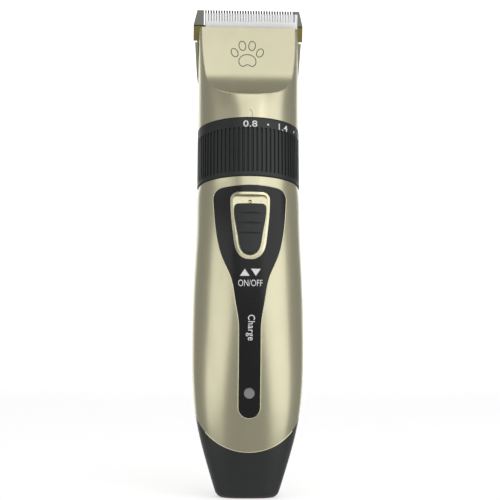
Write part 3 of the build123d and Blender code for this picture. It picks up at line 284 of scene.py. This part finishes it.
DRESS = {
    GOLD: "front_shell rear_shell head_shell blade_frame",
    PANEL: "control_panel",
    TAIL: "tail_cap",
    RING: "adjust_ring",
    KNOB: "switch_knob switch_actuator",
    BEZEL: "switch_bezel",
    BLADE: "fixed_blade",
    CERAMIC: "ceramic_cutter",
    LENS: "charge_lens",
    GLOW: "charge_led",
    WHITE: "drive_yoke cutter_guide",
    DARK: "dc_socket inner_chassis neck_collar motor_mount motor_end_cap board_chip slide_switch "
          "push_fork",
    BOARD: "circuit_board",
    WRAP: "battery_cell",
    NICKEL: "cell_tabs",
    BRONZE: "motor_bearing eccentric_cam",
    WIRE: "cell_leads motor_leads socket_leads",
    STEEL: "shell_screws board_screws motor_screws head_screws blade_screws blade_spring "
           "hinge_rod motor_can motor_shaft drive_pin",
}


def dress(node, finish):
    """Gives every material slot of a CAD node one finish."""
    slots = NODES[node].material_slots
    if not slots:
        NODES[node].data.materials.append(finish.material)
    for material_slot in slots:
        material_slot.material = finish.material


for finish, names in DRESS.items():
    for name in names.split():
        dress(name, finish)


# ---------------------------------------------------------------- places on the clipper

turn = next(j for j in frame["joints"] if j["name"] == "ring_turn")
NECK = Vector(turn["pos_m"])
UP = -Vector(turn["axis"]).normalized()
BACK = UP.cross(Vector((1, 0, 0)))
HEAD = Matrix.Translation(NECK) @ Matrix((Vector((1, 0, 0)), BACK, UP)).transposed().to_4x4()


def skin(*names):
    """The outer surface of some CAD nodes, for laying things on."""
    bm = bmesh.new()
    for name in names:
        bm.from_mesh(NODES[name].data)
    tree = BVHTree.FromBMesh(bm)
    bm.free()
    return tree


def piece(name, bm, body, finish, smooth=True):
    """Makes a finished object of a mesh, with its place in the mesh."""
    mesh = bpy.data.meshes.new(name)
    bm.to_mesh(mesh)
    bm.free()
    mesh.materials.append(finish.material)
    mesh.polygons.foreach_set("use_smooth", [smooth] * len(mesh.polygons))
    obj = bpy.data.objects.new(name, mesh)
    bpy.context.scene.collection.objects.link(obj)
    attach(obj, body)
    return obj


def from_object(obj):
    """A mesh of what an object finally looks like; the object itself goes."""
    bpy.context.view_layer.update()
    seen = obj.evaluated_get(bpy.context.evaluated_depsgraph_get())
    mesh = bpy.data.meshes.new_from_object(seen)
    bm = bmesh.new()
    bm.from_mesh(mesh)
    data = obj.data
    bpy.data.objects.remove(obj)
    bpy.data.meshes.remove(mesh)
    if isinstance(data, bpy.types.Curve):
        bpy.data.curves.remove(data)
    return bm


CAP = 0.69                   # height of a capital in text of size 1
INK = 0.05 * MM              # thickness of printing
PROUD = 0.6 * INK            # how far printing stands out of its surface
IN_FRONT = -200 * MM         # Y of a plane well in front of the clipper


def text_shape(words, height, weight=0.0, spacing=1.0):
    """Flat lettering centred on the origin in X and Y, with capitals of the given height."""
    font = bpy.data.curves.new("words", "FONT")
    font.body = words
    font.size = 1.0
    font.offset = weight
    font.space_character = spacing
    font.resolution_u = 5
    obj = bpy.data.objects.new("words", font)
    bpy.context.scene.collection.objects.link(obj)
    bm = from_object(obj)
    xs = [v.co.x for v in bm.verts]
    ys = [v.co.y for v in bm.verts]
    bmesh.ops.translate(bm, vec=(-(min(xs) + max(xs)) / 2, -CAP / 2, 0), verts=bm.verts)
    bmesh.ops.scale(bm, vec=Vector((1, 1, 1)) * (height / CAP), verts=bm.verts)
    bm.normal_update()
    return bm


def stand_up(bm, x, z, turned=0.0, stretch=1.0):
    """Turns a flat shape in XY upright, facing the front, and moves it to x and z."""
    upright = Matrix.Rotation(math.radians(90), 4, "X") @ Matrix.Rotation(math.radians(turned), 4, "Z")
    widen = Matrix.Diagonal((stretch, 1, 1, 1))
    place = Matrix.Translation((x, 0, z)) @ upright @ widen
    bmesh.ops.transform(bm, matrix=place, verts=bm.verts)


def add_shape(bm, shape):
    """Puts one mesh into another; the first one goes."""
    mesh = bpy.data.meshes.new("shape")
    shape.to_mesh(mesh)
    shape.free()
    bm.from_mesh(mesh)
    bpy.data.meshes.remove(mesh)


def hollow_out(bm, line):
    """Leaves of a flat shape only a line of the given width inside its outline."""
    made = bmesh.ops.inset_region(
        bm, faces=bm.faces, thickness=line, use_boundary=True, use_even_offset=True
    )
    keep = set(made["faces"])
    bmesh.ops.delete(bm, geom=[f for f in bm.faces if f not in keep], context="FACES")


def divide(bm, longest):
    """Cuts long edges, so that a shape can follow a curved surface."""
    bmesh.ops.triangulate(bm, faces=bm.faces)
    for _ in range(4):
        long_edges = [e for e in bm.edges if e.calc_length() > longest]
        if not long_edges:
            break
        bmesh.ops.subdivide_edges(bm, edges=long_edges, cuts=1)
        bmesh.ops.triangulate(bm, faces=bm.faces)


def thicken(bm, inward):
    """Gives a laid shape the thickness of ink; inward maps a point to the way into the surface."""
    made = bmesh.ops.extrude_face_region(bm, geom=bm.faces[:], use_keep_orig=True)
    for v in made["geom"]:
        if isinstance(v, bmesh.types.BMVert):
            v.co += inward(v.co) * INK
    bmesh.ops.recalc_face_normals(bm, faces=bm.faces)


def lay_on(bm, tree):
    """Moves an upright shape back onto a surface, from which it stands proud by PROUD."""
    for v in bm.verts:
        hit = tree.ray_cast(Vector((v.co.x, IN_FRONT, v.co.z)), Vector((0, 1, 0)))[0]
        v.co.y = hit.y - PROUD


def to_back(point):
    return Vector((0, 1, 0))


def to_head_axis(point):
    from_axis = HEAD.inverted() @ point
    return (HEAD.to_3x3() @ Vector((-from_axis.x, -from_axis.y, 0))).normalized()


def wrap_round(bm, radius, angle, level):
    """Bends a flat XY shape round the head axis, its middle at an angle from the front."""
    for v in bm.verts:
        around = math.radians(angle) + v.co.x / radius
        across = radius * math.sin(around)
        v.co = HEAD @ Vector((across, -radius * math.cos(around), level + v.co.y))


# ---------------------------------------------------------------- numbers on the length ring

RING_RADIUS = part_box("adjust_ring")[1].x
RING_LEVEL = 19.3 * MM       # middle of the plain band, from the neck plane
NUMBER_HEIGHT = 2.25 * MM
NUMBER_STRETCH = 1.25
DOT_RADIUS = 0.38 * MM
STEP = 20.0                  # degrees between settings

numbers = bmesh.new()
for place, words in enumerate(("0.8", "", "1.4", "", "2.0")):
    if words:
        mark = text_shape(words, NUMBER_HEIGHT, 0.010, 1.05)
        bmesh.ops.scale(mark, vec=(NUMBER_STRETCH, 1, 1), verts=mark.verts)
    else:
        mark = bmesh.new()
        bmesh.ops.create_circle(mark, cap_ends=True, radius=DOT_RADIUS, segments=20)
    divide(mark, 0.5 * MM)
    wrap_round(mark, RING_RADIUS + PROUD, place * STEP, RING_LEVEL)
    thicken(mark, to_head_axis)
    add_shape(numbers, mark)
piece("ring_numbers", numbers, "ring", PRINT, smooth=False)


# ---------------------------------------------------------------- marks on the panel

panel_skin = skin("control_panel")
head_skin = skin("head_shell")


def print_on(name, bm, tree, finish, x, z, turned=0.0, stretch=1.0):
    """Prints a flat shape on the front."""
    stand_up(bm, x, z, turned, stretch)
    divide(bm, 0.6 * MM)
    lay_on(bm, tree)
    thicken(bm, to_back)
    return piece(name, bm, "root", finish, smooth=False)


def triangle(width, height, flip):
    """An arrowhead that points up, or down where flip is -1."""
    bm = bmesh.new()
    corners = [(-width / 2, -height / 2), (width / 2, -height / 2), (0, height / 2)]
    bm.faces.new([bm.verts.new((x, y * flip, 0)) for x, y in corners])
    bmesh.ops.recalc_face_normals(bm, faces=bm.faces)
    return bm


ARROW = (3.4 * MM, 2.5 * MM)         # width and height
ARROW_LEVEL = 78.9 * MM
ARROW_MIDDLES = (-1.85 * MM, 2.0 * MM)
ON_OFF = (0.1 * MM, 75.2 * MM)
CHARGE = (0.55 * MM, 59.7 * MM)

print_on("mark_up", triangle(*ARROW, 1), panel_skin, PRINT, ARROW_MIDDLES[0], ARROW_LEVEL)
print_on("mark_down", triangle(*ARROW, -1), panel_skin, PRINT, ARROW_MIDDLES[1], ARROW_LEVEL)
print_on("mark_on_off", text_shape("ON/OFF", 2.25 * MM), panel_skin, PRINT, *ON_OFF, 0.0, 0.73)
print_on("mark_charge", text_shape("Charge", 2.35 * MM, 0.006, 1.08), panel_skin, PRINT,
         *CHARGE, -90.0, 0.85)


# ---------------------------------------------------------------- paw on the facet

PAW = (-0.6 * MM, 160.6 * MM)
LINE = 0.30 * MM
DENT_WIDTH = 0.38            # of a pad's half width
SPREAD = 0.18                # how much wider a dented pad gets at its sole


def pad(width, height, tilt, x, z, dent=0.0):
    """A thin ring-shaped line round one pad of the paw; dent pulls in the lower edge."""
    bm = bmesh.new()
    bmesh.ops.create_circle(bm, cap_ends=True, radius=1.0, segments=48)
    for v in bm.verts:
        sole = max(-v.co.y, 0.0)
        v.co.y += dent * sole * math.exp(-(v.co.x / DENT_WIDTH) ** 2)
        v.co.x *= 1.0 + SPREAD * dent * sole
    bmesh.ops.scale(bm, vec=(width / 2, height / 2, 1), verts=bm.verts)
    hollow_out(bm, LINE)
    stand_up(bm, PAW[0] + x, PAW[1] + z, tilt)
    return bm


paw = bmesh.new()
for shape in (
    pad(6.6 * MM, 5.8 * MM, 0.0, 0.0, -2.6 * MM, 0.45),
    pad(2.7 * MM, 3.9 * MM, 22.0, -4.7 * MM, 0.9 * MM),
    pad(2.8 * MM, 4.2 * MM, 7.0, -1.8 * MM, 3.8 * MM),
    pad(2.8 * MM, 4.2 * MM, -7.0, 1.8 * MM, 3.8 * MM),
    pad(2.7 * MM, 3.9 * MM, -22.0, 4.7 * MM, 0.9 * MM),
):
    add_shape(paw, shape)
lay_on(paw, head_skin)
thicken(paw, to_back)
piece("paw_lines", paw, "root", ETCH, smooth=False)


# ---------------------------------------------------------------- setting mark above the ring, drawn as painted shade

MARK_LEVEL = 135.6 * MM
MARK_HALF = (0.80 * MM, 1.80 * MM)   # half its width and height
MARK_CUT = -0.35 * MM                # the left side is open up to here
MARK_LINE = 0.16 * MM

mark_shade = bmesh.new()
bmesh.ops.create_circle(mark_shade, cap_ends=True, radius=1.0, segments=40)
bmesh.ops.scale(mark_shade, vec=(*MARK_HALF, 1), verts=mark_shade.verts)
hollow_out(mark_shade, MARK_LINE)
left_side = [f for f in mark_shade.faces if f.calc_center_median().x <= MARK_CUT]
bmesh.ops.delete(mark_shade, geom=left_side, context="FACES")
# painted shade: a dark crescent on the right wall of the recessed mark; its lit left side is left open
print_on("setting_mark_shade", mark_shade, head_skin, ETCH, 0.0, MARK_LEVEL)


# ---------------------------------------------------------------- rounded edges that catch the light, in a paler gold that paints a highlight on them

def edge_line(name, nodes, wanted, radius, body, finish):
    """A thin round bead along the sharp edges of CAD nodes that the test picks."""
    bm = bmesh.new()
    for node in nodes:
        bm.from_mesh(NODES[node].data)
    bmesh.ops.remove_doubles(bm, verts=bm.verts, dist=0.004 * MM)
    bm.normal_update()
    kept = {e for e in bm.edges if len(e.link_faces) == 2 and wanted(e)}
    bmesh.ops.delete(bm, geom=bm.faces[:], context="FACES_ONLY")
    bmesh.ops.delete(bm, geom=[e for e in bm.edges if e not in kept], context="EDGES")
    bmesh.ops.delete(bm, geom=[v for v in bm.verts if not v.link_edges], context="VERTS")
    mesh = bpy.data.meshes.new(name)
    bm.to_mesh(mesh)
    bm.free()
    obj = bpy.data.objects.new(name, mesh)
    bpy.context.scene.collection.objects.link(obj)
    bpy.ops.object.select_all(action="DESELECT")
    bpy.context.view_layer.objects.active = obj
    obj.select_set(True)
    bpy.ops.object.convert(target="CURVE")
    obj.data.bevel_depth = radius
    obj.data.bevel_resolution = 2
    obj.data.use_fill_caps = True
    return piece(name, from_object(obj), body, finish)


SHARP = 45                   # degrees
WINDOW_HALF = 8 * MM         # half the width of the area round the switch
WINDOW_LEVELS = (82 * MM, 108.6 * MM)
LENS_LEVEL = 37.1 * MM
LENS_AREA = 2.2 * MM
HEM_TOP = 40 * MM
FACET_FOLD = 9               # degrees
FACET_LEVELS = (29 * MM, 61 * MM)    # from the neck plane


def middle_of(edge):
    return (edge.verts[0].co + edge.verts[1].co) / 2


def fold(edge):
    return math.degrees(edge.calc_face_angle(0.0))


def outward(edge):
    """Whether a face beside the edge looks away from the handle's middle."""
    middle = middle_of(edge)
    away = Vector((middle.x, middle.y, 0)).normalized()
    return any(face.normal.dot(away) > 0.6 for face in edge.link_faces)


def on_panel_rim(edge):
    at = middle_of(edge)
    near_switch = abs(at.x) < WINDOW_HALF and WINDOW_LEVELS[0] < at.z < WINDOW_LEVELS[1]
    near_lens = abs(at.z - LENS_LEVEL) < LENS_AREA and abs(at.x) < LENS_AREA
    return fold(edge) > SHARP and outward(edge) and not (near_switch or near_lens)


def on_shell_hem(edge):
    low = any(f.normal.z < -0.3 for f in edge.link_faces)
    return fold(edge) > SHARP and low and outward(edge) and middle_of(edge).z < HEM_TOP


def on_facet_edge(edge):
    at = HEAD.inverted() @ middle_of(edge)
    flat = [f for f in edge.link_faces if abs(f.normal.x) < 0.012 and f.normal.y < -0.1]
    level = FACET_LEVELS[0] < at.z < FACET_LEVELS[1]
    return len(flat) == 1 and fold(edge) > FACET_FOLD and at.y < -2 * MM and level


edge_line("panel_rim", ["control_panel"], on_panel_rim, 0.17 * MM, "root", HIGHLIGHT_GOLD)
edge_line("shell_hem", ["front_shell", "rear_shell"], on_shell_hem, 0.14 * MM, "root", HIGHLIGHT_GOLD)
edge_line("facet_edge", ["head_shell"], on_facet_edge, 0.13 * MM, "root", HIGHLIGHT_GOLD)


# ---------------------------------------------------------------- studio

LIT = Vector((0, 0, 90 * MM))
LIGHT_DISTANCE = 1.0


def stage_finish(name, tone, glow):
    """A pale surface that also shines a little."""
    colour = (tone, tone, tone)
    return Finish(name, colour, Roughness=0.9, Emission_Color=(*colour, 1), Emission_Strength=glow)


floor = bmesh.new()
bmesh.ops.create_grid(floor, x_segments=1, y_segments=1, size=1.0)
bmesh.ops.scale(floor, vec=(3.0, 3.0, 1), verts=floor.verts)
sweep = piece("studio_floor", floor, "root", stage_finish("floor_pale", 0.86, 0.62), smooth=False)
sweep.parent = None
sweep.visible_glossy = False
sweep.visible_shadow = False

wall = bmesh.new()
bmesh.ops.create_grid(wall, x_segments=1, y_segments=1, size=1.0)
upright = Matrix.Translation((0, 2.6, 0.9)) @ Matrix.Rotation(math.radians(90), 4, "X")
bmesh.ops.transform(wall, matrix=upright @ Matrix.Diagonal((1.8, 1.2, 1, 1)), verts=wall.verts)
backdrop = piece("studio_wall", wall, "root", stage_finish("wall_pale", 0.80, 1.1), smooth=False)
backdrop.parent = None


def softbox(name, azimuth, elevation, width, height, power):
    """An area light facing the clipper's middle; azimuth 0 is the front, positive to the right."""
    a = math.radians(azimuth)
    e = math.radians(elevation)
    away = Vector((math.sin(a) * math.cos(e), -math.cos(a) * math.cos(e), math.sin(e)))
    light = bpy.data.lights.new(name, "AREA")
    light.shape = "RECTANGLE"
    light.size = width
    light.size_y = height
    light.energy = power
    obj = bpy.data.objects.new(name, light)
    obj.location = LIT + away * LIGHT_DISTANCE
    obj.rotation_euler = (-away).to_track_quat("-Z", "Y").to_euler()
    obj.visible_camera = False
    bpy.context.scene.collection.objects.link(obj)


softbox("left_soft", -58, -3, 0.95, 0.80, 2.1)
softbox("right_soft", 55, 6, 1.02, 1.30, 4.2)
softbox("front_top", 4, 54, 1.00, 0.56, 1.70)
softbox("front_right", 6, 25, 0.90, 0.42, 1.15)

world = bpy.data.worlds.new("studio")
world.use_nodes = True
bpy.context.scene.world = world
tree = world.node_tree
sky = tree.nodes["Background"]
sky.inputs["Color"].default_value = (1, 1, 1, 1)
path = tree.nodes.new("ShaderNodeLightPath")
level = tree.nodes.new("ShaderNodeMapRange")
level.inputs["To Min"].default_value = 0.27
level.inputs["To Max"].default_value = 1.0
tree.links.new(path.outputs["Is Camera Ray"], level.inputs["Value"])
tree.links.new(level.outputs["Result"], sky.inputs["Strength"])

scene = bpy.context.scene
scene.view_settings.view_transform = "Standard"
scene.view_settings.look = "None"

TARGET = Vector((0, 0, 88 * MM))
DISTANCE = 450 * MM
YAW = 2.4
ELEVATION = -4.5
ROLL = 0.35
camera_data = bpy.data.cameras.new("camera")
camera_data.lens = 89.6
camera_data.sensor_width = 36.0
camera_data.shift_x = 0.0035
camera = bpy.data.objects.new("camera", camera_data)
a = math.radians(-YAW)
e = math.radians(ELEVATION)
away = Vector((math.sin(a) * math.cos(e), -math.cos(a) * math.cos(e), math.sin(e)))
camera.location = TARGET + away * DISTANCE
camera.rotation_mode = "QUATERNION"
camera.rotation_quaternion = (
    (-away).to_track_quat("-Z", "Y") @ Matrix.Rotation(math.radians(ROLL), 4, "Z").to_quaternion()
)
scene.collection.objects.link(camera)
scene.camera = camera
